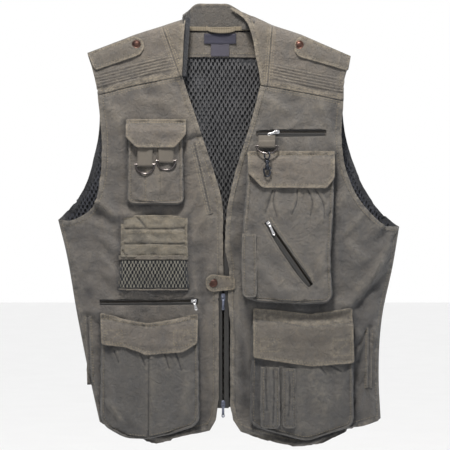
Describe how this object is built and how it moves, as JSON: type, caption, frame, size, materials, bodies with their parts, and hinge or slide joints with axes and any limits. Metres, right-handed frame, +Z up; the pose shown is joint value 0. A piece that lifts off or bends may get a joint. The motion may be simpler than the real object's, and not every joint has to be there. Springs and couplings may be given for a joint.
{
  "type": "fishing vest",
  "caption": "Sleeveless twill fishing vest with V-neck, front zip, flap and mesh pockets, D-rings and a snap hook",
  "frame": {"origin": "inside the hang loop at the centre of the back neck", "axes": "+Z up along the hanging vest, -Y out of its front, +X to the wearer's left"},
  "size_m": [0.55, 0.0611, 0.7085],
  "materials": {
    "twill": "garment-washed cotton twill",
    "mesh": "honeycomb mesh",
    "webbing": "woven webbing",
    "label": "woven label",
    "zip_tape": "woven zip tape",
    "hook_tape": "hook tape",
    "zip_metal": "antique metal teeth",
    "slider_metal": "worn nickel",
    "ring_metal": "dark nickel",
    "hook_metal": "gunmetal",
    "snap_metal": "antique copper"
  },
  "bodies": {
    "vest": {"back_facing": "twill", "back_panel": "twill", "card_pockets": "twill", "chest_ring_straps": "webbing", "collar": "twill", "front_zip_teeth": "zip_metal", "hang_loop": "twill", "hook_ring_strap": "webbing", "left_cargo_pocket": "twill", "left_chest_pocket": "twill", "left_front_panel": "twill", "left_front_zip_tape": "zip_tape", "left_shoulder_yoke": "twill", "mesh_lining": "mesh", "mesh_pocket": "mesh", "neck_labels": "label", "neckbands": "twill", "pen_pocket": "twill", "pocket_bags": "twill", "pocket_welts": "twill", "pocket_zip_tapes": "zip_tape", "pocket_zip_teeth": "zip_metal", "right_cargo_pocket": "twill", "right_chest_pocket": "twill", "right_front_panel": "twill", "right_front_zip_tape": "zip_tape", "right_shoulder_yoke": "twill", "side_panels": "twill", "snap_studs": "snap_metal", "tool_pockets": "twill"},
    "right_epaulette": {"right_epaulette": "twill", "right_epaulette_cap": "snap_metal"},
    "left_epaulette": {"left_epaulette": "twill", "left_epaulette_cap": "snap_metal"},
    "storm_tab": {"storm_tab": "twill", "storm_tab_cap": "snap_metal"},
    "top_slider": {"top_slider": "slider_metal"},
    "top_slider_pull": {"top_slider_pull": "slider_metal"},
    "bottom_slider": {"bottom_slider": "slider_metal"},
    "bottom_slider_pull": {"bottom_slider_pull": "slider_metal"},
    "waist_slider": {"waist_slider": "slider_metal"},
    "waist_slider_pull": {"waist_slider_pull": "slider_metal"},
    "breast_slider": {"breast_slider": "slider_metal"},
    "breast_slider_pull": {"breast_slider_pull": "slider_metal"},
    "slant_slider": {"slant_slider": "slider_metal"},
    "slant_slider_pull": {"slant_slider_pull": "slider_metal"},
    "right_chest_flap": {"right_chest_flap": "twill"},
    "outer_chest_ring": {"outer_chest_ring": "ring_metal"},
    "inner_chest_ring": {"inner_chest_ring": "ring_metal"},
    "right_cargo_flap": {"right_cargo_flap": "twill", "right_cargo_hooks": "hook_tape"},
    "left_chest_flap": {"left_chest_flap": "twill"},
    "left_cargo_flap": {"left_cargo_flap": "twill", "left_cargo_hooks": "hook_tape"},
    "hook_ring": {"hook_ring": "ring_metal"},
    "hook_eye": {"hook_eye": "hook_metal"},
    "snap_hook": {"snap_hook": "hook_metal"},
    "hook_bolt": {"hook_bolt": "slider_metal"}
  },
  "joints": [
    {"name": "right_epaulette_lift", "type": "hinge", "parent": "vest", "child": "right_epaulette", "pos_m": [-0.208, -0.0274, -0.0515], "axis": [0.4061, 0, -0.9138], "range_deg": [0, 120]},
    {"name": "left_epaulette_lift", "type": "hinge", "parent": "vest", "child": "left_epaulette", "pos_m": [0.205, -0.0274, -0.0535], "axis": [0.1713, 0, 0.9852], "range_deg": [0, 120]},
    {"name": "storm_tab_open", "type": "hinge", "parent": "vest", "child": "storm_tab", "pos_m": [0.022, -0.0274, -0.406], "axis": [0, 0, 1], "range_deg": [0, 90]},
    {"name": "top_slider_travel", "type": "slide", "parent": "vest", "child": "top_slider", "axis": [0, 0, 1], "range_m": [-0.138, 0]},
    {"name": "bottom_slider_travel", "type": "slide", "parent": "vest", "child": "bottom_slider", "axis": [0, 0, 1], "range_m": [0, 0.138]},
    {"name": "waist_slider_travel", "type": "slide", "parent": "vest", "child": "waist_slider", "axis": [-0.9999, 0, -0.0125], "range_m": [0, 0.144]},
    {"name": "breast_slider_travel", "type": "slide", "parent": "vest", "child": "breast_slider", "axis": [1, 0, 0], "range_m": [-0.023, 0.069]},
    {"name": "slant_slider_travel", "type": "slide", "parent": "vest", "child": "slant_slider", "axis": [0.5692, -0.0542, -0.8204], "range_m": [0, 0.1115]},
    {"name": "top_slider_pull_swing", "type": "hinge", "parent": "top_slider", "child": "top_slider_pull", "pos_m": [0.003, -0.027, -0.428], "axis": [-1, 0, 0], "range_deg": [0, 140]},
    {"name": "bottom_slider_pull_swing", "type": "hinge", "parent": "bottom_slider", "child": "bottom_slider_pull", "pos_m": [0.003, -0.027, -0.6], "axis": [-1, 0, 0], "range_deg": [0, 165]},
    {"name": "waist_slider_pull_swing", "type": "hinge", "parent": "waist_slider", "child": "waist_slider_pull", "pos_m": [-0.04401, -0.027, -0.4341], "axis": [-0.9613, 0, -0.2756], "range_deg": [0, 165]},
    {"name": "breast_slider_pull_swing", "type": "hinge", "parent": "breast_slider", "child": "breast_slider_pull", "pos_m": [0.089, -0.027, -0.163], "axis": [-0.342, 0, 0.9397], "range_deg": [0, 165]},
    {"name": "slant_slider_pull_swing", "type": "hinge", "parent": "slant_slider", "child": "slant_slider_pull", "pos_m": [0.07598, -0.04097, -0.30946], "axis": [-0.9135, -0.0268, -0.4059], "range_deg": [0, 165]},
    {"name": "right_chest_flap_lift", "type": "hinge", "parent": "vest", "child": "right_chest_flap", "pos_m": [-0.104, -0.03649, -0.14888], "axis": [-1, 0, 0], "range_deg": [0, 130]},
    {"name": "right_cargo_flap_lift", "type": "hinge", "parent": "vest", "child": "right_cargo_flap", "pos_m": [-0.1155, -0.03469, -0.46192], "axis": [-1, 0, 0], "range_deg": [0, 130]},
    {"name": "left_chest_flap_lift", "type": "hinge", "parent": "vest", "child": "left_chest_flap", "pos_m": [0.112, -0.03403, -0.19992], "axis": [-1, 0, 0], "range_deg": [0, 120]},
    {"name": "left_cargo_flap_lift", "type": "hinge", "parent": "vest", "child": "left_cargo_flap", "pos_m": [0.1305, -0.03477, -0.46392], "axis": [-1, 0, 0], "range_deg": [0, 130]},
    {"name": "outer_chest_ring_swing", "type": "hinge", "parent": "vest", "child": "outer_chest_ring", "pos_m": [-0.1215, -0.03816, -0.21586], "axis": [-1, 0, 0], "range_deg": [0, 100]},
    {"name": "inner_chest_ring_swing", "type": "hinge", "parent": "vest", "child": "inner_chest_ring", "pos_m": [-0.088, -0.03796, -0.20986], "axis": [-1, 0, 0], "range_deg": [0, 100]},
    {"name": "hook_ring_swing", "type": "hinge", "parent": "vest", "child": "hook_ring", "pos_m": [0.073, -0.0334, -0.186], "axis": [-1, 0, 0], "range_deg": [0, 120]},
    {"name": "hook_eye_swing", "type": "hinge", "parent": "hook_ring", "child": "hook_eye", "pos_m": [0.073, -0.04464, -0.19848], "axis": [-1, 0, 0], "range_deg": [0, 38]},
    {"name": "snap_hook_swivel", "type": "hinge", "parent": "hook_eye", "child": "snap_hook", "pos_m": [0.073, -0.04464, -0.20928], "axis": [0, 0, 1], "continuous": true},
    {"name": "hook_bolt_travel", "type": "slide", "parent": "snap_hook", "child": "hook_bolt", "axis": [0, 0, 1], "range_m": [0, 0.007], "stiffness_N_per_m": 80, "springref_m": -0.002}
  ],
  "couplings": [
    {"joint": "hook_ring_swing", "follows": "left_chest_flap_lift", "ratio": 1}
  ]
}
